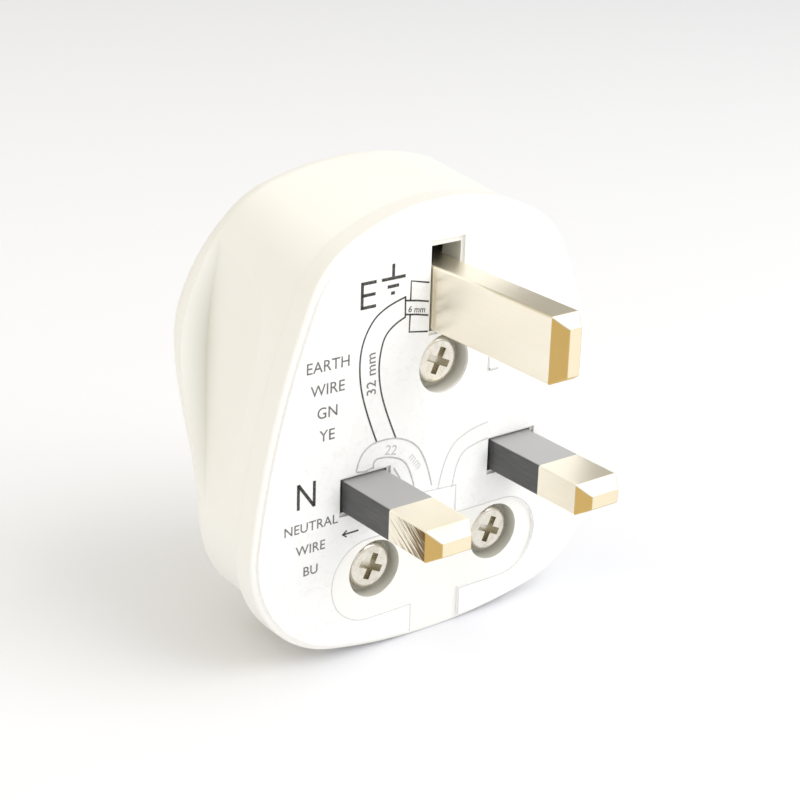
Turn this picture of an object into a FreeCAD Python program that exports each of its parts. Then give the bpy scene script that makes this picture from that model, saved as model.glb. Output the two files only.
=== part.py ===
import FreeCAD, Part
import math
import os

os.makedirs("parts", exist_ok=True)

# Three pin mains plug, in millimetres.
# X runs right as seen from the pin side, Y into the body, Z up to the earth pin.
# The origin lies on the pin face, midway between the two flat pins.

Vector = FreeCAD.Vector
along_x = Vector(1, 0, 0)
along_y = Vector(0, 1, 0)
along_z = Vector(0, 0, 1)

# Pins: spacing, sections and lengths in front of the pin face
pin_pitch = 22.23
flat_pin_width = 6.35
earth_pin_height = 7.95
pin_thickness = 3.97
flat_pin_length = 17.7
earth_pin_length = 22.7
pin_edge_round = 0.3
tip_bevel_length = 1.8
tip_inset = 1.1
sleeve_length = 9.3
sleeve_wall = 0.45

# Outline of the pin face: end arcs, corner radii and a side arc through three points,
# given by their heights and by how far each is drawn in from the side's widest reach
face_side_reach = 26.8
face_side_heights = (24.0, 9.2, -5.5)
face_side_draw_ins = (7.6, 2.7, 0.0)
face_plan = {
    "top": 34.0, "top_radius": 28.5, "bottom": -21.7, "bottom_radius": 72.0,
    "side": [(face_side_reach - draw_in, z) for draw_in, z in zip(face_side_draw_ins, face_side_heights)],
    "upper_corner": 12.0, "lower_corner": 14.5,
}

# Outline of the cover: its step inside the face where they meet, and how it spreads to the back
cover_step = 0.25
cover_foot_step = 1.9
cover_spread_depth = 32.0
top_spread = 2.65
top_radius_spread = 9.0
side_spreads = (1.6, 2.25, 0.5)
foot_draw_in = 1.0
bottom_radius_drop = 2.5
upper_corner_drop = 3.75
cover_front_plan = dict(
    face_plan,
    top=face_plan["top"] - cover_step,
    top_radius=face_plan["top_radius"] - cover_step,
    bottom=face_plan["bottom"] + cover_foot_step,
    side=[(x - cover_step, z) for x, z in face_plan["side"]],
    upper_corner=face_plan["upper_corner"] - cover_step,
)
cover_back_plan = dict(
    cover_front_plan,
    top=cover_front_plan["top"] + top_spread,
    top_radius=cover_front_plan["top_radius"] + top_radius_spread,
    bottom=cover_front_plan["bottom"] + foot_draw_in,
    bottom_radius=cover_front_plan["bottom_radius"] - bottom_radius_drop,
    side=[(x + spread, z) for (x, z), spread in zip(cover_front_plan["side"], side_spreads)],
    upper_corner=cover_front_plan["upper_corner"] - upper_corner_drop,
)

# Base plate
base_thickness = 3.4
base_edge_round = 0.5
seam_round = 0.25
slot_clearance = 0.15
earth_slot_relief = 2.2
lip_height = 2.0
lip_width = 1.4
lip_clearance = 0.15
lip_gap_width = 13.0

# Cover: depths are measured from the pin face along the middle line
cover_wall = 2.2
cover_depth_high = 27.4
cover_depth_low = 17.8
hump_below_top = 16.5
hump_climb = 22.5
brow_drop = 9.7
crown_axis_distance = 63.0
crown_half_angle = 30.0
back_edge_round = 3.2

# Finger grips: hollows in the cover's sides, each with a fold below the rim at the back.
# At each height stand the depth of the fold under the cover's side and the width of the rim;
# the hollow runs out where the depth passes zero.
grip_step = 1.2
grip_lead = 0.3
grip_rise = 2.2
grip_stations = (
    (-8.0, -0.5, 2.3), (-2.0, 0.1, 2.7), (3.0, 0.9, 3.4), (8.0, 1.8, 4.3),
    (13.0, 2.45, 4.9), (18.0, 2.3, 4.9), (23.0, 1.5, 4.9), (28.0, -0.4, 4.9),
)

# Cable entry in the cover's lower wall
entry_width = 8.0
entry_top = 12.4

# Wiring card on the pin face
card_thickness = 0.4
card_setback = 0.8
card_pin_gap = 0.5
card_earth_gap = 2.6
window_radius = 5.25
window_half_spread = 10.35
window_height = -11.7
notch_width = 7.4

# Cover screw with its captive nut
cover_screw_height = 13.8
screw_recess_depth = 2.2
screw_recess_diameter = 7.4
screw_head_diameter = 6.0
screw_head_height = 1.5
cross_width = 0.9
cross_length = 3.4
cross_depth = 1.1
cross_turn = 25.0
cover_screw_diameter = 3.9
cover_screw_end = 17.0
screw_end_room = 1.0
screw_hole_clearance = 0.2
cover_boss_diameter = 8.4
cover_boss_top = 7.0
cover_post_diameter = 8.0
post_gap = 0.3
nut_side = 6.4
nut_thickness = 3.0
nut_clearance = 0.1

# Cord grip: a clamp bar held by two screws put in from the pin side
grip_screw_half_spread = 9.2
grip_screw_height = -10.8
grip_screw_diameter = 3.3
grip_screw_end = 10.5
grip_post_diameter = 7.2
grip_post_top = 7.6
clamp_bar_width = 6.0
clamp_bar_thickness = 2.4
clamp_bar_end_margin = 3.4
clamp_bar_end_flat = 0.4
clamp_rib_height = 0.8
clamp_rib_width = 1.0
clamp_rib_length = 8.0

# Terminals on the inner ends of the pins
terminal_height = 6.2
earth_head_width = 8.0
neutral_head_width = 7.2
neutral_head_height = 8.0
line_head_thickness = 1.8
line_head_width = 7.6
line_head_height = 8.4
wire_hole_diameter = 3.4
wire_hole_depth = 2.6
terminal_screw_diameter = 3.2
terminal_head_diameter = 4.8
terminal_head_height = 1.5
driver_slot_width = 0.9
driver_slot_depth = 0.8

# Fuse, its two spring clips and the line terminal
fuse_length = 25.4
fuse_cap_diameter = 6.35
fuse_tube_diameter = 5.9
fuse_cap_length = 6.0
fuse_cap_end = 0.4
fuse_end_gap = 0.8
clip_sheet = 0.5
clip_length = 5.0
clip_mouth_width = 4.6
line_terminal_x = -7.4
line_terminal_width = 5.0
line_terminal_foot = 23.2
line_terminal_length = 4.6
line_terminal_height = 5.6

# Ribs of the cover that hold the pin heads down
rib_thickness = 1.0
rib_gap = 0.3

# How far a cutting block reaches past what it cuts, and how near an edge counts as on a plane
cut_margin = 1.0
plane_tolerance = 0.01

# Places that follow from the sizes
line_x = -pin_pitch / 2
neutral_x = pin_pitch / 2
head_top = base_thickness + terminal_height
clip_seat = base_thickness + line_head_thickness
fuse_axis_y = clip_seat + clip_sheet + fuse_cap_diameter / 2
fuse_upper_end = line_terminal_foot - fuse_end_gap
fuse_lower_end = fuse_upper_end - fuse_length
lower_clip_foot = fuse_lower_end + (fuse_cap_length - clip_length) / 2
upper_clip_foot = fuse_upper_end - (fuse_cap_length + clip_length) / 2
line_terminal_end = line_terminal_foot + line_terminal_length
line_terminal_middle = line_terminal_foot + line_terminal_length / 2
line_terminal_base = clip_seat + clip_sheet
line_terminal_seat = line_terminal_base + line_terminal_height
grip_screw_sides = (-grip_screw_half_spread, grip_screw_half_spread)
hump_top = face_plan["top"] - hump_below_top
hump_foot = hump_top - hump_climb


def box(x_low, x_high, y_low, y_high, z_low, z_high):
    corner = Vector(x_low, y_low, z_low)
    return Part.makeBox(x_high - x_low, y_high - y_low, z_high - z_low, corner)


def centred_box(x, z, width, height, y_low, y_high):
    return box(x - width / 2, x + width / 2, y_low, y_high, z - height / 2, z + height / 2)


def rod(diameter, x, z, y_low, y_high):
    return Part.makeCylinder(diameter / 2, y_high - y_low, Vector(x, y_low, z), along_y)


def plan_point(x, z, y=0.0):
    return Vector(x, y, z)


def arc_through(first, middle, last):
    arc = Part.Arc(plan_point(*first), plan_point(*middle), plan_point(*last)).toShape()
    return arc.Curve.Center, arc.Curve.Radius


def side_half_width(plan, z):
    centre, radius = arc_through(*plan["side"])
    return centre.x + math.sqrt(radius ** 2 - (z - centre.z) ** 2)


def corner_centre(end_centre, end_radius, side_centre, side_radius, turn):
    # Centre of the corner arc that runs smoothly into the end arc and the side arc,
    # given what is left of the radii of those two.
    between = side_centre - end_centre
    apart = between.Length
    along = (end_radius ** 2 - side_radius ** 2 + apart ** 2) / (2 * apart)
    aside = math.sqrt(end_radius ** 2 - along ** 2)
    direction = between / apart
    return end_centre + direction * along + direction.cross(along_y) * (turn * aside)


def touch_point(large_centre, small_centre, small_radius):
    return small_centre + (small_centre - large_centre).normalize() * small_radius


def mirrored(point):
    return Vector(-point.x, point.y, point.z)


def arc_edge(start, centre, end):
    middle = ((start - centre) + (end - centre)).normalize() * (start - centre).Length
    return Part.Arc(start, centre + middle, end).toShape()


def outline_wire(plan, inset, y):
    upper = plan["upper_corner"]
    lower = plan["lower_corner"]
    top_left = plan["top_radius"] - upper
    bottom_left = plan["bottom_radius"] - lower
    side_centre, side_radius = arc_through(*plan["side"])
    top_centre = plan_point(0, plan["top"] - plan["top_radius"])
    bottom_centre = plan_point(0, plan["bottom"] + plan["bottom_radius"])
    upper_centre = corner_centre(top_centre, top_left, side_centre, side_radius - upper, -1)
    lower_centre = corner_centre(bottom_centre, bottom_left, side_centre, side_radius - lower, 1)
    points = [
        touch_point(top_centre, upper_centre, upper - inset),
        touch_point(side_centre, upper_centre, upper - inset),
        touch_point(side_centre, lower_centre, lower - inset),
        touch_point(bottom_centre, lower_centre, lower - inset),
    ]
    centres = (upper_centre, side_centre, lower_centre)
    right = [arc_edge(points[i], centres[i], points[i + 1]) for i in range(3)]
    left = [arc_edge(mirrored(points[i + 1]), mirrored(centres[i]), mirrored(points[i])) for i in (2, 1, 0)]
    bottom = arc_edge(points[3], bottom_centre, mirrored(points[3]))
    top = arc_edge(mirrored(points[0]), top_centre, points[0])
    wire = Part.Wire(right + [bottom] + left + [top])
    wire.translate(along_y * y)
    return wire


def plan_block(plan, inset, y_low, y_high):
    return Part.Face(outline_wire(plan, inset, y_low)).extrude(along_y * (y_high - y_low))


def tapered_tip(x, z, width, height, length):
    wires = []
    for inset, y in ((0.0, tip_bevel_length - length), (tip_inset, -length)):
        half_width = width / 2 - inset
        half_height = height / 2 - inset
        signs = ((-1, -1), (1, -1), (1, 1), (-1, 1))
        points = [plan_point(x + i * half_width, z + j * half_height, y) for i, j in signs]
        wires.append(Part.makePolygon(points + points[:1]))
    return Part.makeLoft(wires, True, True)


def pin_shank(x, z, width, height, length):
    straight = centred_box(x, z, width, height, tip_bevel_length - length, base_thickness)
    shank = straight.fuse(tapered_tip(x, z, width, height, length)).removeSplitter()
    edges = [edge for edge in shank.Edges if edge.CenterOfMass.y < base_thickness - plane_tolerance]
    return shank.makeFillet(pin_edge_round, edges)


def sleeve_block(x, inset):
    width = flat_pin_width - 2 * inset
    height = pin_thickness - 2 * inset
    return centred_box(x, 0, width, height, -sleeve_length, base_thickness)


def sleeve(x):
    outer = sleeve_block(x, 0)
    long_edges = [edge for edge in outer.Edges if edge.BoundBox.YLength > sleeve_length]
    outer = outer.makeFillet(pin_edge_round, long_edges)
    return outer.cut(sleeve_block(x, sleeve_wall))


def sleeved_pin(x):
    whole = pin_shank(x, 0, flat_pin_width, pin_thickness, flat_pin_length)
    return whole.cut(sleeve_block(x, 0).cut(sleeve_block(x, sleeve_wall)))


def screw_bore(x, z, seat):
    return rod(terminal_screw_diameter, x, z, seat - wire_hole_depth - wire_hole_diameter / 2, seat)


def wire_hole(x, z, seat, direction, reach):
    start = Vector(x, seat - wire_hole_depth - wire_hole_diameter / 2, z) - direction * reach
    return Part.makeCylinder(wire_hole_diameter / 2, 2 * reach, start, direction)


def terminal_screw(x, z, seat):
    end = seat + terminal_head_height
    head = rod(terminal_head_diameter, x, z, seat, end)
    slot_length = terminal_head_diameter + cut_margin
    slot = centred_box(x, z, slot_length, driver_slot_width, end - driver_slot_depth, end)
    shank = rod(terminal_screw_diameter, x, z, seat - wire_hole_depth, seat)
    return head.cut(slot).fuse(shank).removeSplitter()


def earth_pin():
    shank = pin_shank(0, pin_pitch, pin_thickness, earth_pin_height, earth_pin_length)
    head = centred_box(0, pin_pitch, earth_head_width, earth_pin_height, base_thickness, head_top)
    head = head.cut(screw_bore(0, pin_pitch, head_top))
    head = head.cut(wire_hole(0, pin_pitch, head_top, along_x, earth_head_width))
    return shank.fuse(head).removeSplitter()


def neutral_pin():
    head = centred_box(neutral_x, 0, neutral_head_width, neutral_head_height, base_thickness, head_top)
    head = head.cut(screw_bore(neutral_x, 0, head_top))
    head = head.cut(wire_hole(neutral_x, 0, head_top, along_z, neutral_head_height))
    return sleeved_pin(neutral_x).fuse(head).removeSplitter()


def line_pin():
    head = centred_box(line_x, 0, line_head_width, line_head_height, base_thickness, clip_seat)
    return sleeved_pin(line_x).fuse(head).removeSplitter()


def fuse_rod(diameter, z_low, z_high):
    foot = Vector(line_x, fuse_axis_y, z_low)
    return Part.makeCylinder(diameter / 2, z_high - z_low, foot, along_z)


def fuse_tube():
    return fuse_rod(fuse_tube_diameter, fuse_lower_end + fuse_cap_end, fuse_upper_end - fuse_cap_end)


def fuse_cap(z_low):
    return fuse_rod(fuse_cap_diameter, z_low, z_low + fuse_cap_length).cut(fuse_tube())


def spring_clip(z_low):
    z_high = z_low + clip_length
    outer = fuse_rod(fuse_cap_diameter + 2 * clip_sheet, z_low, z_high)
    inner = fuse_rod(fuse_cap_diameter, z_low, z_high)
    mouth_low = line_x - clip_mouth_width / 2
    mouth_high = line_x + clip_mouth_width / 2
    mouth = box(mouth_low, mouth_high, fuse_axis_y, fuse_axis_y + fuse_cap_diameter, z_low, z_high)
    return outer.cut(inner).cut(mouth)


def clip_foot(x_low, x_high, z_low, z_high):
    foot = box(x_low, x_high, clip_seat, clip_seat + clip_sheet, z_low, z_high)
    return foot.cut(fuse_rod(fuse_cap_diameter, z_low, z_high))


def lower_fuse_clip():
    x_low = line_x - line_head_width / 2
    x_high = line_x + line_head_width / 2
    foot = clip_foot(x_low, x_high, lower_clip_foot, lower_clip_foot + clip_length)
    return spring_clip(lower_clip_foot).fuse(foot).removeSplitter()


def line_terminal_edges():
    x_low = line_terminal_x - line_terminal_width / 2
    return x_low, x_low + line_terminal_width


def upper_fuse_clip():
    x_low, x_high = line_terminal_edges()
    clip_end = upper_clip_foot + clip_length
    foot = clip_foot(line_x - clip_mouth_width / 2, x_high, upper_clip_foot, clip_end)
    tongue = box(x_low, x_high, clip_seat, line_terminal_base, clip_end, line_terminal_end)
    return spring_clip(upper_clip_foot).fuse(foot).fuse(tongue).removeSplitter()


def line_terminal():
    x_low, x_high = line_terminal_edges()
    seat = line_terminal_seat
    block = box(x_low, x_high, line_terminal_base, seat, line_terminal_foot, line_terminal_end)
    block = block.cut(screw_bore(line_terminal_x, line_terminal_middle, seat))
    return block.cut(wire_hole(line_terminal_x, line_terminal_middle, seat, along_z, line_terminal_length))


def pin_slots():
    gap = 2 * slot_clearance
    slots = []
    for x in (line_x, neutral_x):
        slots.append(centred_box(x, 0, flat_pin_width + gap, pin_thickness + gap, 0, base_thickness))
    earth_height = earth_pin_height + gap + earth_slot_relief
    earth_z = pin_pitch + earth_slot_relief / 2
    slots.append(centred_box(0, earth_z, pin_thickness + gap, earth_height, 0, base_thickness))
    return slots


def screw_places():
    places = [(0, cover_screw_height, cover_screw_diameter, cover_boss_top)]
    for x in grip_screw_sides:
        places.append((x, grip_screw_height, grip_screw_diameter, grip_post_top))
    return places


def locating_lip():
    inset = cover_wall + lip_clearance
    y_high = base_thickness + lip_height
    outer = plan_block(cover_front_plan, inset, base_thickness, y_high)
    inner = plan_block(cover_front_plan, inset + lip_width, base_thickness, y_high)
    half_gap = lip_gap_width / 2
    gap = box(-half_gap, half_gap, base_thickness, y_high, face_plan["bottom"], grip_screw_height)
    return outer.cut(inner).cut(gap)


def line_pad():
    x_low, x_high = line_terminal_edges()
    outer_x = line_x - clip_mouth_width / 2
    lower = box(outer_x, x_high, base_thickness, clip_seat, upper_clip_foot, line_terminal_foot)
    upper = box(x_low, x_high, base_thickness, clip_seat, line_terminal_foot, line_terminal_end)
    return lower.fuse(upper)


def base():
    plate = plan_block(face_plan, 0, 0, base_thickness)
    front_edges = [edge for edge in plate.Edges if edge.BoundBox.YMax < plane_tolerance]
    plate = plate.makeFillet(base_edge_round, front_edges)
    seam_edges = [edge for edge in plate.Edges if edge.BoundBox.YMin > base_thickness - plane_tolerance]
    plate = plate.makeFillet(seam_round, seam_edges)
    solid = plate.fuse(locating_lip()).fuse(line_pad())
    solid = solid.fuse(rod(cover_boss_diameter, 0, cover_screw_height, base_thickness, cover_boss_top))
    for x in grip_screw_sides:
        solid = solid.fuse(rod(grip_post_diameter, x, grip_screw_height, base_thickness, grip_post_top))
    for slot in pin_slots():
        solid = solid.cut(slot)
    for x, z, diameter, top in screw_places():
        solid = solid.cut(rod(screw_recess_diameter, x, z, 0, screw_recess_depth))
        solid = solid.cut(rod(diameter + screw_hole_clearance, x, z, screw_recess_depth, top))
    return solid.removeSplitter()


def back_form(offset):
    # The back runs level at the cable end, climbs in an S and bends forward above.
    high = cover_depth_high - offset
    low = cover_depth_low - offset
    third = hump_climb / 3
    climb = Part.BezierCurve()
    poles = [(hump_top, high), (hump_top - third, high), (hump_foot + third, low), (hump_foot, low)]
    climb.setPoles([plan_point(0, z, y) for z, y in poles])
    rise = cover_back_plan["top"] - hump_top
    brow_radius = (rise ** 2 + brow_drop ** 2) / (2 * brow_drop)
    brow_top = cover_back_plan["top"] + cut_margin
    brow_depth = high - brow_radius + math.sqrt(brow_radius ** 2 - (brow_top - hump_top) ** 2)
    brow_end = plan_point(0, brow_top, brow_depth)
    brow_centre = plan_point(0, hump_top, high - brow_radius)
    brow = arc_edge(brow_end, brow_centre, plan_point(0, hump_top, high))
    below = face_plan["bottom"] - cut_margin
    path = [plan_point(0, hump_foot, low), plan_point(0, below, low), plan_point(0, below)]
    path += [plan_point(0, brow_top), brow_end]
    profile = Part.Face(Part.Wire([brow, climb.toShape()] + Part.makePolygon(path).Edges))
    axis_point = Vector(0, -crown_axis_distance, 0)
    profile.rotate(axis_point, along_z, -crown_half_angle)
    return profile.revolve(axis_point, along_z, 2 * crown_half_angle)


def cover_block(inset, offset):
    front = outline_wire(cover_front_plan, inset, base_thickness)
    back = outline_wire(cover_back_plan, inset, cover_spread_depth)
    return Part.makeLoft([front, back], True, True).common(back_form(offset))


def side_depth(z):
    # Depth of the crowned back at the cover's side, where the S on the middle line has come to z.
    climbed = min(max((z - hump_foot) / hump_climb, 0.0), 1.0)
    share = climbed ** 2 * (3 - 2 * climbed)
    reach = crown_axis_distance + cover_depth_low + (cover_depth_high - cover_depth_low) * share
    return math.sqrt(reach ** 2 - side_half_width(cover_back_plan, z) ** 2) - crown_axis_distance


def side_reach(z, y):
    # Half width of the cover at height z and depth y, between its front and back outlines.
    share = (y - base_thickness) / (cover_spread_depth - base_thickness)
    front = side_half_width(cover_front_plan, z)
    return front + (side_half_width(cover_back_plan, z) - front) * share


def grip_section(z, depth, rim_width, margin, side):
    start = base_thickness + grip_step
    fold = side_depth(z) - rim_width - margin / 2
    rim = fold + grip_rise + margin
    lead_wall = side_reach(z, start) + grip_lead - margin
    fold_wall = side_reach(z, fold) - depth - margin
    rim_wall = side_reach(z, cover_spread_depth) - margin
    outside = rim_wall + margin + cover_wall
    path = [(outside, start), (lead_wall, start), (fold_wall, fold), (rim_wall, rim), (outside, rim)]
    points = [plan_point(side * x, z, y) for x, y in path]
    return Part.makePolygon(points + points[:1])


def finger_grip(side, margin):
    sections = [grip_section(z, depth, rim, margin, side) for z, depth, rim in grip_stations]
    return Part.makeLoft(sections, True, False)


def cable_entry():
    foot = face_plan["bottom"] - cut_margin
    inner_end = grip_screw_height - clamp_bar_width / 2
    half = entry_width / 2
    axis_y = entry_top - half
    arch = Part.makeCylinder(half, inner_end - foot, Vector(0, axis_y, foot), along_z)
    return arch.fuse(box(-half, half, base_thickness, axis_y, foot, inner_end))


def hold_down_ribs():
    y_low = head_top + rib_gap
    earth_rib_z = pin_pitch + (earth_pin_height - rib_thickness) / 2
    neutral_rib_x = neutral_x + (neutral_head_width - rib_thickness) / 2
    earth_rib = centred_box(0, earth_rib_z, earth_head_width, rib_thickness, y_low, cover_depth_high)
    neutral_rib = centred_box(neutral_rib_x, 0, rib_thickness, neutral_head_height, y_low, cover_depth_high)
    return earth_rib.fuse(neutral_rib)


def cover():
    block = cover_block(0, 0)
    back_edges = [edge for edge in block.Edges if edge.BoundBox.YMin > base_thickness + cut_margin]
    block = block.makeFillet(back_edge_round, back_edges)
    seam_edges = [edge for edge in block.Edges if edge.BoundBox.YMax < base_thickness + plane_tolerance]
    block = block.makeFillet(seam_round, seam_edges)
    cavity = cover_block(cover_wall, cover_wall)
    for side in (-1, 1):
        block = block.cut(finger_grip(side, 0))
        cavity = cavity.cut(finger_grip(side, cover_wall))
    foot = cover_boss_top + post_gap
    post = rod(cover_post_diameter, 0, cover_screw_height, foot, cover_depth_high)
    pocket_side = nut_side + 2 * nut_clearance
    pocket = centred_box(0, cover_screw_height, pocket_side, pocket_side, foot, foot + nut_thickness)
    bore_diameter = cover_screw_diameter + screw_hole_clearance
    bore = rod(bore_diameter, 0, cover_screw_height, foot, cover_screw_end + screw_end_room)
    inner = cavity.cut(post).cut(hold_down_ribs()).fuse([pocket, bore])
    return block.cut(inner).cut(cable_entry()).removeSplitter()


def cover_nut():
    foot = cover_boss_top + post_gap
    nut = centred_box(0, cover_screw_height, nut_side, nut_side, foot, foot + nut_thickness)
    return nut.cut(rod(cover_screw_diameter, 0, cover_screw_height, foot, foot + nut_thickness))


def cross_head_screw(x, z, diameter, end):
    top = screw_recess_depth - screw_head_height
    head = rod(screw_head_diameter, x, z, top, screw_recess_depth)
    rim = [edge for edge in head.Edges if edge.BoundBox.YMax < top + plane_tolerance]
    head = head.makeFillet(screw_head_height / 2, rim)
    solid = head.fuse(rod(diameter, x, z, screw_recess_depth, end)).removeSplitter()
    upright = centred_box(x, z, cross_width, cross_length, top, top + cross_depth)
    level = centred_box(x, z, cross_length, cross_width, top, top + cross_depth)
    cross = upright.fuse(level)
    cross.rotate(Vector(x, 0, z), along_y, cross_turn)
    return solid.cut(cross)


def cord_grip_screws():
    screws = []
    for x in grip_screw_sides:
        screws.append(cross_head_screw(x, grip_screw_height, grip_screw_diameter, grip_screw_end))
    return Part.makeCompound(screws)


def cord_grip_bar():
    length = 2 * (grip_screw_half_spread + clamp_bar_end_margin)
    top = grip_post_top + clamp_bar_thickness
    bar = centred_box(0, grip_screw_height, length, clamp_bar_width, grip_post_top, top)
    upright_edges = [edge for edge in bar.Edges if edge.BoundBox.YLength > plane_tolerance]
    upright_edges = [edge for edge in upright_edges if edge.BoundBox.XLength < plane_tolerance]
    bar = bar.makeFillet((clamp_bar_width - clamp_bar_end_flat) / 2, upright_edges)
    rib_low = grip_post_top - clamp_rib_height
    for side in (-1, 1):
        rib_z = grip_screw_height + side * clamp_bar_width / 4
        bar = bar.fuse(centred_box(0, rib_z, clamp_rib_length, clamp_rib_width, rib_low, grip_post_top))
    for x in grip_screw_sides:
        bar = bar.cut(rod(grip_screw_diameter, x, grip_screw_height, grip_post_top, top))
    return bar.removeSplitter()


def card_slot(x, z, width, height):
    gap = 2 * card_pin_gap
    return centred_box(x, z, width + gap, height + gap, -card_thickness, 0)


def card_window():
    low = window_height - window_radius
    high = window_height + window_radius
    window = box(-window_half_spread, window_half_spread, -card_thickness, 0, low, high)
    for x in (-window_half_spread, window_half_spread):
        window = window.fuse(rod(2 * window_radius, x, window_height, -card_thickness, 0))
    notch = box(-notch_width / 2, notch_width / 2, -card_thickness, 0, face_plan["bottom"], window_height)
    return window.fuse(notch)


def wiring_card():
    card = plan_block(face_plan, card_setback, -card_thickness, 0)
    for x in (line_x, neutral_x):
        card = card.cut(card_slot(x, 0, flat_pin_width, pin_thickness))
    earth_z = pin_pitch + card_earth_gap / 2
    card = card.cut(card_slot(0, earth_z, pin_thickness, earth_pin_height + card_earth_gap))
    card = card.cut(rod(screw_recess_diameter, 0, cover_screw_height, -card_thickness, 0))
    return card.cut(card_window())


pieces = {
    "base": base(),
    "cover": cover(),
    "wiring_card": wiring_card(),
    "earth_pin": earth_pin(),
    "neutral_pin": neutral_pin(),
    "line_pin": line_pin(),
    "neutral_sleeve": sleeve(neutral_x),
    "line_sleeve": sleeve(line_x),
    "fuse_tube": fuse_tube(),
    "fuse_cap_lower": fuse_cap(fuse_lower_end),
    "fuse_cap_upper": fuse_cap(fuse_upper_end - fuse_cap_length),
    "fuse_clip_lower": lower_fuse_clip(),
    "fuse_clip_upper": upper_fuse_clip(),
    "line_terminal": line_terminal(),
    "earth_terminal_screw": terminal_screw(0, pin_pitch, head_top),
    "neutral_terminal_screw": terminal_screw(neutral_x, 0, head_top),
    "line_terminal_screw": terminal_screw(line_terminal_x, line_terminal_middle, line_terminal_seat),
    "cover_screw": cross_head_screw(0, cover_screw_height, cover_screw_diameter, cover_screw_end),
    "cover_nut": cover_nut(),
    "cord_grip_bar": cord_grip_bar(),
    "cord_grip_screws": cord_grip_screws(),
}

for name, shape in pieces.items():
    shape.exportStep("parts/" + name + ".step")
    print(name, len(shape.Solids), shape.isValid(), round(shape.Volume, 1))
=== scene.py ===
import math
import bmesh
import bpy
from mathutils import Matrix, Vector


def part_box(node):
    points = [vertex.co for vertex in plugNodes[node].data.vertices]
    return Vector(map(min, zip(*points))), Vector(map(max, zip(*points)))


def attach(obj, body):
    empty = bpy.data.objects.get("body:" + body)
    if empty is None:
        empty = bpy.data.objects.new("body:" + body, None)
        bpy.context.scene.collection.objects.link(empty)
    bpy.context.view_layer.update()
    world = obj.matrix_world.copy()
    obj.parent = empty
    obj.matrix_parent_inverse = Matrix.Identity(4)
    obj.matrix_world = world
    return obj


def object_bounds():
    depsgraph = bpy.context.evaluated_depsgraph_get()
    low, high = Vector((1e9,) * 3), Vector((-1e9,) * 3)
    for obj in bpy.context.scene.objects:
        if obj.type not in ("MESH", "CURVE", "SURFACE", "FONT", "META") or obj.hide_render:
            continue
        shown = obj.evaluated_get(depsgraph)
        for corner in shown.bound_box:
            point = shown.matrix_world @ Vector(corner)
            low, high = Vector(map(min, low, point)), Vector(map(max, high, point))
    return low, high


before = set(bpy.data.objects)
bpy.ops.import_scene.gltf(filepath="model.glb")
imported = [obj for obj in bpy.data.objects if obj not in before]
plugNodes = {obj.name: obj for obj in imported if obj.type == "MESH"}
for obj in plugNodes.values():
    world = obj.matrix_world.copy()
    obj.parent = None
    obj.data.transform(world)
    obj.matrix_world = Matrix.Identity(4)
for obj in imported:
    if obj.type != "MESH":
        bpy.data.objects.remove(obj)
cadLow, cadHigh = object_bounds()
mm = 0.001
print("frame loaded with", len(plugNodes), "nodes")

# Sockets of a Mix node set to colours, by place, because several of its sockets share a name
mixShare, mixFirst, mixSecond, mixed = 0, 6, 7, 2


def linearColour(hexText):
    # sRGB hex to the linear values that sockets take
    channels = [int(hexText[i:i + 2], 16) / 255 for i in (1, 3, 5)]
    return (*[c / 12.92 if c <= 0.04045 else ((c + 0.055) / 1.055) ** 2.4 for c in channels], 1.0)


def perMetre(sizeMm):
    # texture scale for a pattern whose grain is sizeMm across
    return 1.0 / (sizeMm * mm)


def alongPin(lineMm, runMm):
    # texture scale for lines that are lineMm wide and run along the pin for runMm
    return (perMetre(lineMm), perMetre(runMm), perMetre(lineMm))


def waveScale(spacingMm):
    # bands of the wave texture repeat every pi / 10 of its scale
    return perMetre(spacingMm) * math.pi / 10


def addNode(tree, kind, settings=None, inputs=None):
    node = tree.nodes.new(kind)
    for name, value in (settings or {}).items():
        setattr(node, name, value)
    for name, value in (inputs or {}).items():
        if isinstance(value, bpy.types.NodeSocket):
            tree.links.new(value, node.inputs[name])
        else:
            node.inputs[name].default_value = value
    return node


def newMaterial(name):
    material = bpy.data.materials.new(name)
    material.use_nodes = True
    material.node_tree.nodes.clear()
    return material, material.node_tree


def finishMaterial(tree, shaderInputs):
    shader = addNode(tree, "ShaderNodeBsdfPrincipled", inputs=shaderInputs)
    addNode(tree, "ShaderNodeOutputMaterial", inputs={"Surface": shader.outputs["BSDF"]})


# Urea moulding, pressed in a polished tool: warm white and glossy, with a faint orange peel
# and slow clouds where the powder flowed; folds and recesses carry painted shade, darker as they close in
bodyLook = {
    "light": "#fdfcf9", "shade": "#fbf9f3",
    "cloudMm": 14.0, "cloudNoise": {"Detail": 4.0, "Roughness": 0.6},
    "paintedShadeTint": "#b4b2a2", "paintedShadeReachMm": 5.0,
    "paintedShadeByOpenness": {"From Min": 0.97, "From Max": 0.65, "To Max": 0.62},
    "glossPatchMm": 9.0, "patchNoise": {"Detail": 2.0},
    "gloss": {"From Min": 0.2, "From Max": 0.8, "To Min": 0.27, "To Max": 0.34}, "ior": 1.54,
    "peelMm": 1.4, "peelNoise": {"Detail": 2.0, "Roughness": 0.4},
    "peelBump": {"Strength": 0.35, "Distance": 0.005 * mm},
}


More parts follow.
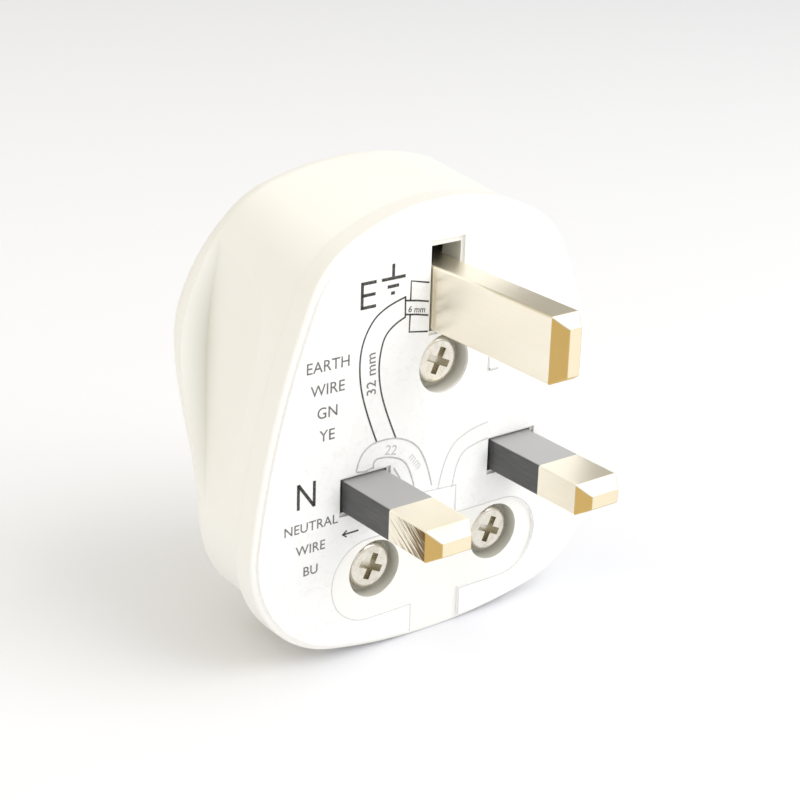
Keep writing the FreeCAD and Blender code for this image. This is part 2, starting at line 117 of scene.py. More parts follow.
def mouldedUrea():
    look = bodyLook
    material, tree = newMaterial("mouldedUrea")
    place = addNode(tree, "ShaderNodeTexCoord").outputs["Object"]
    clouds = addNode(tree, "ShaderNodeTexNoise", inputs={
        "Vector": place, "Scale": perMetre(look["cloudMm"]), **look["cloudNoise"]})
    colour = addNode(tree, "ShaderNodeMix", {"data_type": "RGBA"}, {
        mixShare: clouds.outputs["Fac"], mixFirst: linearColour(look["light"]),
        mixSecond: linearColour(look["shade"])})
    # painted shade: the tint darkens folds and recesses as the moulding closes in around them
    openness = addNode(tree, "ShaderNodeAmbientOcclusion", {"only_local": True}, {
        "Distance": look["paintedShadeReachMm"] * mm})
    paintedShadeShare = addNode(tree, "ShaderNodeMapRange", inputs={
        "Value": openness.outputs["AO"], **look["paintedShadeByOpenness"]})
    withPaintedShade = addNode(tree, "ShaderNodeMix", {"data_type": "RGBA"}, {
        mixShare: paintedShadeShare.outputs["Result"], mixFirst: colour.outputs[mixed],
        mixSecond: linearColour(look["paintedShadeTint"])})
    patches = addNode(tree, "ShaderNodeTexNoise", inputs={
        "Vector": place, "Scale": perMetre(look["glossPatchMm"]), **look["patchNoise"]})
    gloss = addNode(tree, "ShaderNodeMapRange", inputs={"Value": patches.outputs["Fac"], **look["gloss"]})
    peel = addNode(tree, "ShaderNodeTexNoise", inputs={
        "Vector": place, "Scale": perMetre(look["peelMm"]), **look["peelNoise"]})
    bump = addNode(tree, "ShaderNodeBump", inputs={"Height": peel.outputs["Fac"], **look["peelBump"]})
    finishMaterial(tree, {
        "Base Color": withPaintedShade.outputs[mixed], "Roughness": gloss.outputs["Result"], "IOR": look["ior"],
        "Normal": bump.outputs["Normal"]})
    return material


# Coated card: flat white with a paper tooth and a few grey fibres, far duller than the moulding;
# the tooth is drawn coarser than a real one, so that it shows
cardLook = {
    "white": "#fdfdfc", "fibre": "#f1f0ed", "fibreMm": 1.6,
    "fibreNoise": {"Detail": 6.0, "Roughness": 0.7, "Distortion": 1.5},
    "fibreBand": {"From Min": 0.52, "From Max": 0.75},
    "toothMm": 0.35, "toothNoise": {"Detail": 3.0}, "toothBump": {"Strength": 0.3, "Distance": 0.01 * mm},
    "surface": {"Roughness": 0.62, "IOR": 1.45},
}


def coatedCard():
    look = cardLook
    material, tree = newMaterial("coatedCard")
    place = addNode(tree, "ShaderNodeTexCoord").outputs["Object"]
    fibres = addNode(tree, "ShaderNodeTexNoise", inputs={
        "Vector": place, "Scale": perMetre(look["fibreMm"]), **look["fibreNoise"]})
    share = addNode(tree, "ShaderNodeMapRange", inputs={
        "Value": fibres.outputs["Fac"], **look["fibreBand"]})
    colour = addNode(tree, "ShaderNodeMix", {"data_type": "RGBA"}, {
        mixShare: share.outputs["Result"], mixFirst: linearColour(look["white"]),
        mixSecond: linearColour(look["fibre"])})
    tooth = addNode(tree, "ShaderNodeTexNoise", inputs={
        "Vector": place, "Scale": perMetre(look["toothMm"]), **look["toothNoise"]})
    bump = addNode(tree, "ShaderNodeBump", inputs={"Height": tooth.outputs["Fac"], **look["toothBump"]})
    finishMaterial(tree, {
        "Base Color": colour.outputs[mixed], "Normal": bump.outputs["Normal"], **look["surface"]})
    return material


# Offset ink: a thin dark film that breaks up a little in the card's tooth; worn places are paler
# and the faintest are hardly there
inkLooks = {
    "offsetInk": {"full": "#363533", "thin": "#74736f"},
    "greyInk": {"full": "#6a6967", "thin": "#9d9c99"},
    "wornInk": {"full": "#c4c4c2", "thin": "#dfdfdd"},
    "faintInk": {"full": "#dcdcda", "thin": "#ededeb"},
}
inkFilm = {
    "speckMm": 0.25, "speckNoise": {"Detail": 2.0}, "speckBand": {"From Min": 0.5, "From Max": 0.8},
    "surface": {"Roughness": 0.5, "IOR": 1.5},
}


def offsetInk(name):
    look = inkLooks[name]
    material, tree = newMaterial(name)
    place = addNode(tree, "ShaderNodeTexCoord").outputs["Object"]
    specks = addNode(tree, "ShaderNodeTexNoise", inputs={
        "Vector": place, "Scale": perMetre(inkFilm["speckMm"]), **inkFilm["speckNoise"]})
    share = addNode(tree, "ShaderNodeMapRange", inputs={
        "Value": specks.outputs["Fac"], **inkFilm["speckBand"]})
    colour = addNode(tree, "ShaderNodeMix", {"data_type": "RGBA"}, {
        mixShare: share.outputs["Result"], mixFirst: linearColour(look["full"]),
        mixSecond: linearColour(look["thin"])})
    finishMaterial(tree, {"Base Color": colour.outputs[mixed], **inkFilm["surface"]})
    return material


# Drawn brass bar: pale gold and bright, with die lines along the pin; the side and lower bevels
# at the tip were milled afterwards and are rougher, and their deeper gold is a painted dark reflection;
# the forward end is painted a little deeper than the sides, as painted shade; the die lines are drawn
# coarser than real ones, so that they show
brassLook = {
    "bright": "#fefaef", "deep": "#f9f0d9", "paintedEndShade": "#f4e8ca", "paintedReflectionGold": "#cfae6c",
    "dieLineMm": 0.12, "dieRunMm": 9.0, "dieNoise": {"Detail": 3.0, "Roughness": 0.55},
    "dieBump": {"Strength": 0.4, "Distance": 0.004 * mm},
    "leaning": {"From Min": -0.15, "From Max": -0.3}, "notEnd": {"From Min": -0.97, "From Max": -0.9},
    "notUpper": {"From Min": 0.35, "From Max": 0.15}, "roughness": {"To Min": 0.36, "To Max": 0.4},
    "millMarkMm": 0.3, "millTurnDegrees": (90.0, 0.0, 30.0),
    "millWave": {"Distortion": 2.0, "Detail": 2.0, "Detail Scale": 3.0},
    "millBump": {"Strength": 0.6, "Distance": 0.012 * mm},
}
# Saw marks slant across the left face of the pin beside the N: a few thin lines near the sleeve,
# crowded brown ones towards the tip
sawLook = {
    "dark": "#765d36", "markMm": 0.24, "runMm": 9.0, "turnDegrees": (56.0, 0.0, 0.0),
    "noise": {"Detail": 3.0, "Roughness": 0.95}, "contrast": 8.0,
    "crowding": {"From Min": -9.3 * mm, "From Max": -15.9 * mm, "To Min": 0.6, "To Max": 0.34},
    "leftFace": {"From Min": -0.9, "From Max": -0.98},
}


def sawMarks(tree, place, facing):
    # how deep each point lies in a saw mark, on faces that look left
    turned = addNode(tree, "ShaderNodeMapping", inputs={
        "Vector": place, "Rotation": [math.radians(turn) for turn in sawLook["turnDegrees"]]})
    run = perMetre(sawLook["runMm"])
    drawnOut = addNode(tree, "ShaderNodeMapping", inputs={
        "Vector": turned.outputs["Vector"], "Scale": (run, perMetre(sawLook["markMm"]), run)})
    marks = addNode(tree, "ShaderNodeTexNoise", inputs={
        "Vector": drawnOut.outputs["Vector"], "Scale": 1.0, **sawLook["noise"]})
    along = addNode(tree, "ShaderNodeSeparateXYZ", inputs={"Vector": place})
    edge = addNode(tree, "ShaderNodeMapRange", inputs={"Value": along.outputs["Y"], **sawLook["crowding"]})
    above = addNode(tree, "ShaderNodeMath", {"operation": "SUBTRACT"}, {
        0: marks.outputs["Fac"], 1: edge.outputs["Result"]})
    lines = addNode(tree, "ShaderNodeMath", {"operation": "MULTIPLY", "use_clamp": True}, {
        0: above.outputs[0], 1: sawLook["contrast"]})
    onLeft = addNode(tree, "ShaderNodeMapRange", inputs={
        "Value": facing.outputs["X"], **sawLook["leftFace"]})
    marksHere = addNode(tree, "ShaderNodeMath", {"operation": "MULTIPLY"}, {
        0: lines.outputs[0], 1: onLeft.outputs["Result"]})
    return marksHere.outputs[0]


def drawnBrass(name, hasSawMarks):
    look = brassLook
    material, tree = newMaterial(name)
    coords = addNode(tree, "ShaderNodeTexCoord")
    place = coords.outputs["Object"]
    dieMap = addNode(tree, "ShaderNodeMapping", inputs={
        "Vector": place, "Scale": alongPin(look["dieLineMm"], look["dieRunMm"])})
    dieLines = addNode(tree, "ShaderNodeTexNoise", inputs={
        "Vector": dieMap.outputs["Vector"], "Scale": 1.0, **look["dieNoise"]})
    tone = addNode(tree, "ShaderNodeMix", {"data_type": "RGBA"}, {
        mixShare: dieLines.outputs["Fac"], mixFirst: linearColour(look["bright"]),
        mixSecond: linearColour(look["deep"])})
    # a face that leans forward without being the end or looking up is a milled bevel
    facing = addNode(tree, "ShaderNodeSeparateXYZ", inputs={"Vector": coords.outputs["Normal"]})
    leaning = addNode(tree, "ShaderNodeMapRange", inputs={
        "Value": facing.outputs["Y"], **look["leaning"]})
    notEnd = addNode(tree, "ShaderNodeMapRange", inputs={
        "Value": facing.outputs["Y"], **look["notEnd"]})
    notUpper = addNode(tree, "ShaderNodeMapRange", inputs={
        "Value": facing.outputs["Z"], **look["notUpper"]})
    sideOrLower = addNode(tree, "ShaderNodeMath", {"operation": "MULTIPLY"}, {
        0: leaning.outputs["Result"], 1: notUpper.outputs["Result"]})
    bevel = addNode(tree, "ShaderNodeMath", {"operation": "MULTIPLY"}, {
        0: sideOrLower.outputs[0], 1: notEnd.outputs["Result"]}).outputs[0]
    # painted shade: the forward end face is painted a little deeper than the sides
    toneWithPaintedEndShade = addNode(tree, "ShaderNodeMix", {"data_type": "RGBA"}, {
        mixShare: notEnd.outputs["Result"], mixFirst: linearColour(look["paintedEndShade"]),
        mixSecond: tone.outputs[mixed]})
    # painted dark reflection: side and lower bevels are painted a deeper gold
    colour = addNode(tree, "ShaderNodeMix", {"data_type": "RGBA"}, {
        mixShare: bevel, mixFirst: toneWithPaintedEndShade.outputs[mixed],
        mixSecond: linearColour(look["paintedReflectionGold"])}).outputs[mixed]
    millMap = addNode(tree, "ShaderNodeMapping", inputs={
        "Vector": place, "Rotation": [math.radians(turn) for turn in look["millTurnDegrees"]]})
    millMarks = addNode(tree, "ShaderNodeTexWave", {"bands_direction": "X"}, {
        "Vector": millMap.outputs["Vector"], "Scale": waveScale(look["millMarkMm"]), **look["millWave"]})
    height = addNode(tree, "ShaderNodeMath", {"operation": "MULTIPLY"}, {
        0: millMarks.outputs["Fac"], 1: bevel}).outputs[0]
    roughness = addNode(tree, "ShaderNodeMapRange", inputs={"Value": bevel, **look["roughness"]})
    if hasSawMarks:
        marks = sawMarks(tree, place, facing)
        colour = addNode(tree, "ShaderNodeMix", {"data_type": "RGBA"}, {
            mixShare: marks, mixFirst: colour, mixSecond: linearColour(sawLook["dark"])}).outputs[mixed]
        height = addNode(tree, "ShaderNodeMath", {"operation": "ADD"}, {0: height, 1: marks}).outputs[0]
    dieBump = addNode(tree, "ShaderNodeBump", inputs={"Height": dieLines.outputs["Fac"], **look["dieBump"]})
    millBump = addNode(tree, "ShaderNodeBump", inputs={
        "Height": height, "Normal": dieBump.outputs["Normal"], **look["millBump"]})
    finishMaterial(tree, {
        "Base Color": colour, "Metallic": 1.0, "Roughness": roughness.outputs["Result"],
        "Normal": millBump.outputs["Normal"]})
    return material


# Moulded nylon sleeve: black with a soft shine and fine flow lines along the pin;
# the upper face is painted a paler grey as a painted reflection of the white card, its tone matched
sleeveLook = {
    "black": "#434344", "streak": "#545455", "paintedReflectionGrey": "#aaaaab", "flowMm": 0.2, "flowRunMm": 3.0,
    "flowNoise": {"Detail": 4.0, "Roughness": 0.6}, "flowBump": {"Strength": 0.4, "Distance": 0.008 * mm},
    "streakBand": {"From Min": 0.45, "From Max": 0.75}, "paintedReflectionBand": {"From Min": 0.75, "From Max": 0.98},
    "surface": {"Roughness": 0.34, "IOR": 1.53},
}


def sleeveNylon():
    look = sleeveLook
    material, tree = newMaterial("sleeveNylon")
    coords = addNode(tree, "ShaderNodeTexCoord")
    flowMap = addNode(tree, "ShaderNodeMapping", inputs={
        "Vector": coords.outputs["Object"], "Scale": alongPin(look["flowMm"], look["flowRunMm"])})
    flow = addNode(tree, "ShaderNodeTexNoise", inputs={
        "Vector": flowMap.outputs["Vector"], "Scale": 1.0, **look["flowNoise"]})
    streaks = addNode(tree, "ShaderNodeMapRange", inputs={
        "Value": flow.outputs["Fac"], **look["streakBand"]})
    colour = addNode(tree, "ShaderNodeMix", {"data_type": "RGBA"}, {
        mixShare: streaks.outputs["Result"], mixFirst: linearColour(look["black"]),
        mixSecond: linearColour(look["streak"])})
    facing = addNode(tree, "ShaderNodeSeparateXYZ", inputs={"Vector": coords.outputs["Normal"]})
    # painted reflection: faces that look up are painted a paler grey
    upper = addNode(tree, "ShaderNodeMapRange", inputs={"Value": facing.outputs["Z"], **look["paintedReflectionBand"]})
    withPaintedReflection = addNode(tree, "ShaderNodeMix", {"data_type": "RGBA"}, {
        mixShare: upper.outputs["Result"], mixFirst: colour.outputs[mixed],
        mixSecond: linearColour(look["paintedReflectionGrey"])})
    bump = addNode(tree, "ShaderNodeBump", inputs={"Height": flow.outputs["Fac"], **look["flowBump"]})
    finishMaterial(tree, {
        "Base Color": withPaintedReflection.outputs[mixed], "Normal": bump.outputs["Normal"], **look["surface"]})
    return material


# Nickel plate on steel: warm silver and bright, with small dull spots; the cross slots carry
# painted shade, darker where they close in, so that they read from the front too
nickelLook = {
    "bright": "#e6e1d6", "dull": "#d3cdbf", "spotMm": 1.0, "spotNoise": {"Detail": 4.0, "Roughness": 0.65},
    "spotBand": {"From Min": 0.4, "From Max": 0.7}, "spotBump": {"Strength": 0.2, "Distance": 0.01 * mm},
    "slotPaintedShadeTint": "#cbc5b4", "slotPaintedShadeReachMm": 1.2, "paintedShadeByOpenness": {"From Min": 0.92, "From Max": 0.6},
    "roughness": {"To Min": 0.2, "To Max": 0.32},
}


def nickelPlate():
    look = nickelLook
    material, tree = newMaterial("nickelPlate")
    place = addNode(tree, "ShaderNodeTexCoord").outputs["Object"]
    spots = addNode(tree, "ShaderNodeTexNoise", inputs={
        "Vector": place, "Scale": perMetre(look["spotMm"]), **look["spotNoise"]})
    share = addNode(tree, "ShaderNodeMapRange", inputs={"Value": spots.outputs["Fac"], **look["spotBand"]})
    colour = addNode(tree, "ShaderNodeMix", {"data_type": "RGBA"}, {
        mixShare: share.outputs["Result"], mixFirst: linearColour(look["bright"]),
        mixSecond: linearColour(look["dull"])})
    # painted shade: the tint darkens the cross slots as they close in
    openness = addNode(tree, "ShaderNodeAmbientOcclusion", {"only_local": True}, {
        "Distance": look["slotPaintedShadeReachMm"] * mm})
    paintedShadeShare = addNode(tree, "ShaderNodeMapRange", inputs={
        "Value": openness.outputs["AO"], **look["paintedShadeByOpenness"]})
    withPaintedShade = addNode(tree, "ShaderNodeMix", {"data_type": "RGBA"}, {
        mixShare: paintedShadeShare.outputs["Result"], mixFirst: colour.outputs[mixed],
        mixSecond: linearColour(look["slotPaintedShadeTint"])})
    roughness = addNode(tree, "ShaderNodeMapRange", inputs={
        "Value": share.outputs["Result"], **look["roughness"]})
    bump = addNode(tree, "ShaderNodeBump", inputs={"Height": spots.outputs["Fac"], **look["spotBump"]})
    finishMaterial(tree, {
        "Base Color": withPaintedShade.outputs[mixed], "Metallic": 1.0, "Roughness": roughness.outputs["Result"],
        "Normal": bump.outputs["Normal"]})
    return material


# Pieces inside the cover: unglazed ceramic and moulded nylon are dull, tin plate shines a little,
# and each has a fine grain in its tone
innerLooks = {
    "unglazedCeramic": {
        "light": "#ece7da", "dark": "#ddd6c4", "grainMm": 0.5,
        "surface": {"Roughness": 0.6},
    },
    "tinPlate": {
        "light": "#d6d6d4", "dark": "#b9b9b6", "grainMm": 0.6,
        "surface": {"Roughness": 0.25, "Metallic": 1.0},
    },
    "greyNylon": {
        "light": "#d5d2c8", "dark": "#c3bfb3", "grainMm": 0.8,
        "surface": {"Roughness": 0.5},
    },
}
innerGrain = {"noise": {"Detail": 4.0, "Roughness": 0.6}, "bump": {"Strength": 0.3, "Distance": 0.01 * mm}}


def innerFinish(name):
    look = innerLooks[name]
    material, tree = newMaterial(name)
    place = addNode(tree, "ShaderNodeTexCoord").outputs["Object"]
    grain = addNode(tree, "ShaderNodeTexNoise", inputs={
        "Vector": place, "Scale": perMetre(look["grainMm"]), **innerGrain["noise"]})
    colour = addNode(tree, "ShaderNodeMix", {"data_type": "RGBA"}, {
        mixShare: grain.outputs["Fac"], mixFirst: linearColour(look["light"]),
        mixSecond: linearColour(look["dark"])})
    bump = addNode(tree, "ShaderNodeBump", inputs={"Height": grain.outputs["Fac"], **innerGrain["bump"]})
    finishMaterial(tree, {
        "Base Color": colour.outputs[mixed], "Normal": bump.outputs["Normal"], **look["surface"]})
    return material


urea = mouldedUrea()
card = coatedCard()
inks = {name: offsetInk(name) for name in inkLooks}
brass = drawnBrass("drawnBrass", False)
sawnBrass = drawnBrass("sawnBrass", True)
nylon = sleeveNylon()
nickel = nickelPlate()
ceramic, tinPlate, greyNylon = [innerFinish(name) for name in innerLooks]

finishes = {
    "base": urea, "cover": urea, "wiring_card": card,
    "earth_pin": brass, "neutral_pin": brass, "line_pin": sawnBrass,
    "neutral_sleeve": nylon, "line_sleeve": nylon,
    "fuse_tube": ceramic, "fuse_cap_lower": tinPlate, "fuse_cap_upper": tinPlate,
    "fuse_clip_lower": brass, "fuse_clip_upper": brass, "line_terminal": brass,
    "earth_terminal_screw": brass, "neutral_terminal_screw": brass, "line_terminal_screw": brass,
    "cover_screw": nickel, "cover_nut": nickel, "cord_grip_screws": nickel, "cord_grip_bar": greyNylon,
}
for nodeName, finish in finishes.items():
    mesh = plugNodes[nodeName].data
    mesh.materials.clear()
    mesh.materials.append(finish)
print("finishes set on", len(finishes), "nodes")

# Print on the card: places are millimetres across and up from the middle of the flat pins
printSizes = {
    "inkMm": 0.03, "shadeLineMm": 0.12, "thinMm": 0.2, "boldMm": 0.38, "capShare": 0.64, "tracking": 1.02,
    "lineOrder": 3, "lineSteps": 16, "letterSteps": 4,
}
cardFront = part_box("wiring_card")[0].y
ontoCard = Matrix.Translation((0.0, cardFront, 0.0)) @ Matrix.Rotation(math.radians(90), 4, "X")


def addSocket(tree, name, kind, inOut="INPUT"):
    tree.interface.new_socket(name, in_out=inOut, socket_type=kind)


def strokeTree():
    # sweeps a flat ribbon of ink along a line, or along both edges of a strip of Strip Width
    tree = bpy.data.node_groups.new("printedStroke", "GeometryNodeTree")
    addSocket(tree, "Line", "NodeSocketGeometry")
    for name in ("Line Width", "Ink Height", "Strip Width"):
        addSocket(tree, name, "NodeSocketFloat")
    addSocket(tree, "Ink", "NodeSocketMaterial")
    addSocket(tree, "Print", "NodeSocketGeometry", "OUTPUT")
    given = addNode(tree, "NodeGroupInput").outputs
    upright = addNode(tree, "GeometryNodeSetCurveNormal", {"mode": "Z_UP"}, {"Curve": given["Line"]})
    tangent = addNode(tree, "GeometryNodeInputTangent")
    sideways = addNode(tree, "ShaderNodeVectorMath", {"operation": "CROSS_PRODUCT"}, {
        0: tangent.outputs["Tangent"], 1: (0.0, 0.0, 1.0)})
    edges = addNode(tree, "GeometryNodeJoinGeometry")
    for side in (-0.5, 0.5):
        reach = addNode(tree, "ShaderNodeMath", {"operation": "MULTIPLY"}, {
            0: given["Strip Width"], 1: side})
        shift = addNode(tree, "ShaderNodeVectorMath", {"operation": "SCALE"}, {
            0: sideways.outputs["Vector"], "Scale": reach.outputs[0]})
        edge = addNode(tree, "GeometryNodeSetPosition", inputs={
            "Geometry": upright.outputs["Curve"], "Offset": shift.outputs["Vector"]})
        tree.links.new(edge.outputs["Geometry"], edges.inputs["Geometry"])
    isStrip = addNode(tree, "FunctionNodeCompare", {"operation": "GREATER_THAN"}, {
        0: given["Strip Width"], 1: 0.0})
    path = addNode(tree, "GeometryNodeSwitch", {"input_type": "GEOMETRY"}, {
        "Switch": isStrip.outputs["Result"], "False": upright.outputs["Curve"],
        "True": edges.outputs["Geometry"]})
    ribbon = addNode(tree, "GeometryNodeCurvePrimitiveQuadrilateral", {"mode": "RECTANGLE"}, {
        "Width": given["Line Width"], "Height": given["Ink Height"]})
    swept = addNode(tree, "GeometryNodeCurveToMesh", inputs={
        "Curve": path.outputs["Output"], "Profile Curve": ribbon.outputs["Curve"], "Fill Caps": True})
    whole = addNode(tree, "GeometryNodeRealizeInstances", inputs={"Geometry": swept.outputs["Mesh"]})
    inked = addNode(tree, "GeometryNodeSetMaterial", inputs={
        "Geometry": whole.outputs["Geometry"], "Material": given["Ink"]})
    addNode(tree, "NodeGroupOutput", inputs={"Print": inked.outputs["Geometry"]})
    return tree


def bakeNodes(carrier, tree, values):
    # runs the tree on the carrier with named inputs and returns a plain mesh
    modifier = carrier.modifiers.new(tree.name, "NODES")
    modifier.node_group = tree
    sockets = [item for item in tree.interface.items_tree if item.in_out == "INPUT"]
    identifiers = {socket.name: socket.identifier for socket in sockets}
    for name, value in values.items():
        modifier[identifiers[name]] = value
    bpy.context.view_layer.update()
    evaluated = carrier.evaluated_get(bpy.context.evaluated_depsgraph_get())
    mesh = bpy.data.meshes.new_from_object(evaluated)
    carrier.modifiers.remove(modifier)
    bpy.data.objects.remove(carrier)
    return mesh


def lineOnCard(name, points, smooth):
    # smooth lines are NURBS with these control points, straight ones are polylines
    data = bpy.data.curves.new(name, "CURVE")
    data.dimensions = "3D"
    data.resolution_u = printSizes["lineSteps"]
    spline = data.splines.new("NURBS" if smooth else "POLY")
    spline.points.add(len(points) - 1)
    for point, (x, z) in zip(spline.points, points):
        point.co = (x * mm, z * mm, 0.0, 1.0)
    if smooth:
        spline.order_u = printSizes["lineOrder"]
        spline.use_endpoint_u = True
    carrier = bpy.data.objects.new(name, data)
    bpy.context.scene.collection.objects.link(carrier)
    return carrier


def letterMesh(text, x, z, capMm, turnDegrees, centred):
    data = bpy.data.curves.new(text, "FONT")
    data.body = text
    data.size = capMm * mm / printSizes["capShare"]
    data.extrude = printSizes["inkMm"] * mm / 2
    data.align_x = "CENTER" if centred else "LEFT"
    data.space_character = printSizes["tracking"]
    data.resolution_u = printSizes["letterSteps"]
    carrier = bpy.data.objects.new(text, data)
    bpy.context.scene.collection.objects.link(carrier)
    bpy.context.view_layer.update()
    evaluated = carrier.evaluated_get(bpy.context.evaluated_depsgraph_get())
    mesh = bpy.data.meshes.new_from_object(evaluated)
    bpy.data.objects.remove(carrier)
    turn = Matrix.Rotation(math.radians(turnDegrees), 4, "Z")
    mesh.transform(Matrix.Translation((x * mm, z * mm, 0.0)) @ turn)
    return mesh


def layPrint(name, meshes, ink):
    # joins flat meshes into one piece that lies on the card's front
    together = bmesh.new()
    for mesh in meshes:
        together.from_mesh(mesh)
        bpy.data.meshes.remove(mesh)
    sheet = bpy.data.meshes.new(name)
    together.to_mesh(sheet)
    together.free()
    sheet.transform(ontoCard @ Matrix.Translation((0.0, 0.0, printSizes["inkMm"] * mm / 2)))
    sheet.materials.append(ink)
    piece = bpy.data.objects.new(name, sheet)
    bpy.context.scene.collection.objects.link(piece)
    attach(piece, "root")


strokes = strokeTree()


def stroke(points, widthMm, inkName, stripMm=0.0, smooth=False):
    return bakeNodes(lineOnCard("line", points, smooth), strokes, {
        "Line Width": widthMm * mm, "Ink Height": printSizes["inkMm"] * mm, "Strip Width": stripMm * mm,
        "Ink": inks[inkName]})


# Wires drawn as strips of even width, one worn and one faint
wirePlan = {
    "neutral": {"strip": 2.5, "ink": "wornInk", "points": [
        (-11.25, 2.75), (-11.1, 4.7), (-7.9, 5.0), (-4.6, 3.7), (-3.0, 0.6), (-2.4, -2.0)]},
    "live": {"strip": 2.2, "ink": "faintInk", "points": [
        (0.9, -2.6), (1.6, 1.6), (4.6, 3.4), (7.3, 3.6)]},
}
# The earth wire's two edges end on the neutral strip and are not evenly apart, so each is its own line
earthEdges = [
    [(-6.0, 23.2), (-9.4, 22.5), (-11.8, 19.6), (-12.5, 15.9), (-11.7, 11.0), (-9.65, 6.0)],
    [(-5.95, 20.75), (-8.6, 19.9), (-9.65, 16.4), (-9.45, 12.9), (-8.3, 9.2), (-6.85, 5.85)],
]
# The window round the two lower screws, with its notch, is edged with a faint line, which is painted shade
# along the card's cut edge
windowPlan = {"radius": 5.36, "halfSpread": 10.35, "height": -11.7, "notchHalf": 3.81, "steps": 20}


def windowShadeLine():
    # from the card's foot up the notch, round both ends of the window and down again
    radius, height, notch = windowPlan["radius"], windowPlan["height"], windowPlan["notchHalf"]
    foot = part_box("wiring_card")[0].z / mm
    points = [(-notch, foot), (-notch, height - radius)]
    for side, startDegrees in ((-1, 270), (1, 90)):
        middle = side * windowPlan["halfSpread"]
        for step in range(windowPlan["steps"] + 1):
            angle = math.radians(startDegrees - 180 * step / windowPlan["steps"])
            points.append((middle + radius * math.cos(angle), height + radius * math.sin(angle)))
    return points + [(notch, height - radius), (notch, foot)]


# Straight and bent thin lines: bared wire, terminal boxes, the cord's end and a pointer
thinLines = {
    "offsetInk": [
        [(-6.05, 23.3), (-6.0, 20.75)],
        [(-6.0, 22.75), (-4.3, 22.45), (-2.65, 22.05)],
        [(-6.0, 21.05), (-4.3, 20.75), (-2.65, 20.35)],
        [(-5.3, 22.65), (-5.28, 25.0), (-2.65, 24.35)],
        [(-5.3, 20.95), (-5.37, 18.8), (-2.65, 18.35)],
        [(-14.3, -4.8), (-12.0, -4.8)],
        [(-13.7, -4.4), (-14.3, -4.8), (-13.7, -5.2)],
    ],
    "wornInk": [
        [(-12.45, 2.8), (-11.2, 2.6), (-10.0, 2.85)],
        [(-7.0, 2.0), (-6.0, 0.4)],
    ],
    "faintInk": [
        [(-3.4, -2.2), (2.6, -2.6), (2.6, -6.3)],
        [(-3.4, -2.2), (-3.4, -6.3)],
    ],
}
# Pole marks and the sign for earth, drawn as bold strokes
boldLines = {
    "offsetInk": [
        [(-12.2, 26.0), (-12.2, 22.75)], [(-12.2, 25.82), (-10.25, 25.82)], [(-12.2, 24.4), (-10.35, 24.4)],
        [(-12.2, 22.94), (-10.25, 22.94)],
        [(-7.87, 27.5), (-7.87, 25.85)], [(-9.5, 25.8), (-6.15, 25.8)],
        [(-8.65, 24.85), (-7.05, 24.85)], [(-8.15, 24.02), (-7.6, 24.02)],
        [(-20.6, 0.0), (-20.6, 3.2)], [(-20.6, 3.15), (-18.4, 0.05)], [(-18.4, 0.0), (-18.4, 3.2)],
    ],
    "faintInk": [[(6.95, 13.6), (6.95, 11.35)], [(6.95, 11.54), (8.4, 11.54)]],
}
# The lengths to which the wires are cut, and plain words for the wires
lengths = [
    {"text": "6 mm", "ink": "offsetInk", "x": -5.65, "z": 21.27, "cap": 0.7, "turn": -11.0},
    {"text": "32 mm", "ink": "greyInk", "x": -9.95, "z": 12.0, "cap": 1.2, "turn": 92.0},
    {"text": "22", "ink": "wornInk", "x": -8.5, "z": 4.05, "cap": 1.15, "turn": -13.0},
    {"text": "mm", "ink": "faintInk", "x": -4.9, "z": 2.85, "cap": 1.0, "turn": -52.0},
]
wordBlocks = [
    {
        "rows": ["EARTH", "WIRE", "GN", "YE"], "ink": "greyInk",
        "x": -16.7, "z": 16.4, "drop": 2.85, "cap": 1.25,
    },
    {
        "rows": ["NEUTRAL", "WIRE", "BU"], "ink": "greyInk",
        "x": -18.8, "z": -3.0, "drop": 2.85, "cap": 1.1,
    },
]
prints = {name: [] for name in inkLooks}
for wire in wirePlan.values():
    strip = stroke(wire["points"], printSizes["thinMm"], wire["ink"], wire["strip"], True)
    prints[wire["ink"]].append(strip)
# painted shade: a faint line along the card's cut edge round the window
prints["faintInk"].append(stroke(windowShadeLine(), printSizes["shadeLineMm"], "faintInk"))
for points in earthEdges:
    prints["offsetInk"].append(stroke(points, printSizes["thinMm"], "offsetInk", smooth=True))
for widthMm, lines in ((printSizes["thinMm"], thinLines), (printSizes["boldMm"], boldLines)):
    for inkName, paths in lines.items():
        prints[inkName] += [stroke(points, widthMm, inkName) for points in paths]
for length in lengths:
    prints[length["ink"]].append(
        letterMesh(length["text"], length["x"], length["z"], length["cap"], length["turn"], False))
for block in wordBlocks:
    for row, text in enumerate(block["rows"]):
        height = block["z"] - row * block["drop"]
        prints[block["ink"]].append(letterMesh(text, block["x"], height, block["cap"], 0.0, True))
printPieces = {
    "print_dark": "offsetInk", "print_grey": "greyInk", "print_worn": "wornInk", "print_faint": "faintInk"}
for pieceName, inkName in printPieces.items():
    layPrint(pieceName, prints[inkName], inks[inkName])
print("print laid on the card in", len(prints), "inks")

# Stage: a pale floor under the plug's foot
stageLook = {"floorSize": 6.0, "floor": "#f5f6fa", "roughness": 0.9}


def paleFloor():
    half = stageLook["floorSize"] / 2
    mesh = bpy.data.meshes.new("floor")
    corners = [(x, y, cadLow.z) for x, y in ((-half, -half), (half, -half), (half, half), (-half, half))]
    mesh.from_pydata(corners, [], [(0, 1, 2, 3)])
    material, tree = newMaterial("paleFloor")
    finishMaterial(tree, {
        "Base Color": linearColour(stageLook["floor"]), "Roughness": stageLook["roughness"]})
    mesh.materials.append(material)
    floor = bpy.data.objects.new("floor", mesh)
    bpy.context.scene.collection.objects.link(floor)


paleFloor()

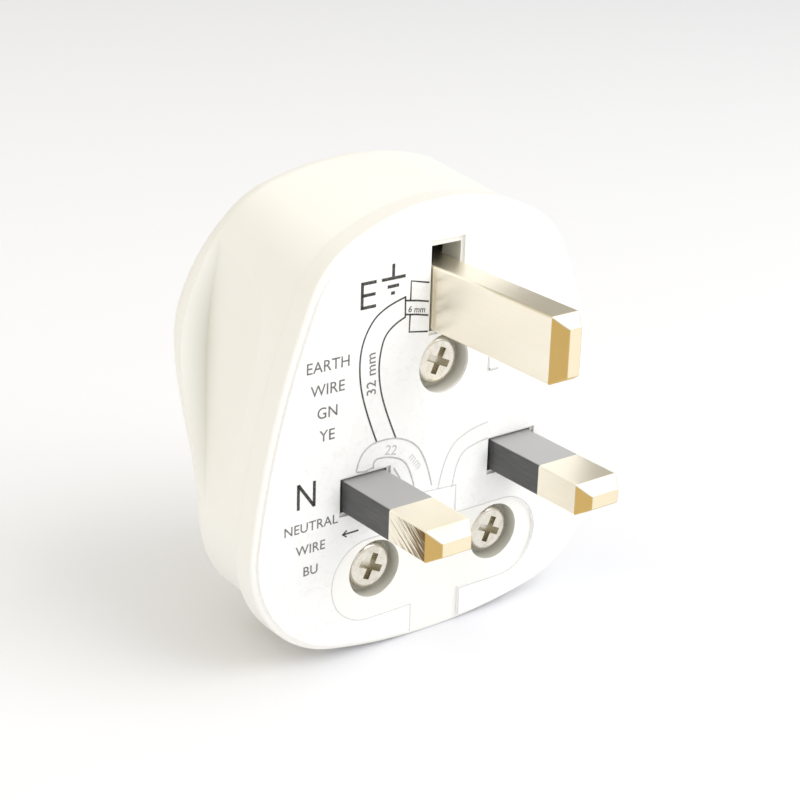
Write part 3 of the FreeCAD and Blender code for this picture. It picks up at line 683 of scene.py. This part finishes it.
# Soft light: a large panel high on the right in front, one high on the left behind, and a room that
# is bright in front, dim behind and pale along the horizon
lightPlan = {
    "key": {"place": (0.28, -0.34, 0.46), "size": 0.5, "power": 2.0, "colour": "#ffffff"},
    "fill": {"place": (-0.42, 0.2, 0.5), "size": 0.6, "power": 1.15, "colour": "#fff5d8"},
}
lightAim = (0.0, 0.0, 0.005)
roomLook = {
    "bright": "#ffffff", "dim": "#837c66", "horizon": "#f0efec", "strength": 0.9,
    "towards": (0.3, -0.75, 0.6), "brightBand": {"From Min": -0.2, "From Max": 0.5},
    "horizonBand": {"From Min": 0.27, "From Max": 0.17},
}


def hangLights():
    for name, plan in lightPlan.items():
        data = bpy.data.lights.new(name, "AREA")
        data.shape = "SQUARE"
        data.size = plan["size"]
        data.energy = plan["power"]
        data.color = linearColour(plan["colour"])[:3]
        light = bpy.data.objects.new(name, data)
        light.location = plan["place"]
        light.rotation_euler = (Vector(lightAim) - light.location).to_track_quat("-Z", "Y").to_euler()
        bpy.context.scene.collection.objects.link(light)


def paleRoom():
    world = bpy.data.worlds.new("paleRoom")
    world.use_nodes = True
    tree = world.node_tree
    tree.nodes.clear()
    direction = addNode(tree, "ShaderNodeTexCoord").outputs["Generated"]
    facing = addNode(tree, "ShaderNodeVectorMath", {"operation": "DOT_PRODUCT"}, {
        0: direction, 1: Vector(roomLook["towards"]).normalized()})
    share = addNode(tree, "ShaderNodeMapRange", inputs={
        "Value": facing.outputs["Value"], **roomLook["brightBand"]})
    colour = addNode(tree, "ShaderNodeMix", {"data_type": "RGBA"}, {
        mixShare: share.outputs["Result"], mixFirst: linearColour(roomLook["dim"]),
        mixSecond: linearColour(roomLook["bright"])})
    height = addNode(tree, "ShaderNodeSeparateXYZ", inputs={"Vector": direction})
    lowBand = addNode(tree, "ShaderNodeMapRange", inputs={
        "Value": height.outputs["Z"], **roomLook["horizonBand"]})
    walls = addNode(tree, "ShaderNodeMix", {"data_type": "RGBA"}, {
        mixShare: lowBand.outputs["Result"], mixFirst: colour.outputs[mixed],
        mixSecond: linearColour(roomLook["horizon"])})
    background = addNode(tree, "ShaderNodeBackground", inputs={
        "Color": walls.outputs[mixed], "Strength": roomLook["strength"]})
    addNode(tree, "ShaderNodeOutputWorld", inputs={"Surface": background.outputs["Background"]})
    bpy.context.scene.world = world
    bpy.context.scene.view_settings.view_transform = "Standard"


hangLights()
paleRoom()

# Camera at the photograph's viewpoint, to the left of the pins and a little above
cameraPlan = {
    "place": (-0.131242, -0.162483, 0.093441), "lens": 85.07, "sensor": 36.0, "shift": (-0.0058, -0.0351),
    "right": (0.79754, -0.60253, 0.02963), "up": (0.19606, 0.30534, 0.93184),
    "back": (-0.57051, -0.73738, 0.36165), "clipStart": 0.01,
}


def setCamera():
    data = bpy.data.cameras.new("camera")
    data.lens = cameraPlan["lens"]
    data.sensor_width = cameraPlan["sensor"]
    data.shift_x, data.shift_y = cameraPlan["shift"]
    data.clip_start = cameraPlan["clipStart"]
    camera = bpy.data.objects.new("camera", data)
    axes = Matrix((cameraPlan["right"], cameraPlan["up"], cameraPlan["back"])).transposed()
    camera.matrix_world = Matrix.Translation(cameraPlan["place"]) @ axes.to_4x4()
    bpy.context.scene.collection.objects.link(camera)
    bpy.context.scene.camera = camera


setCamera()
print("stage, light and camera set")
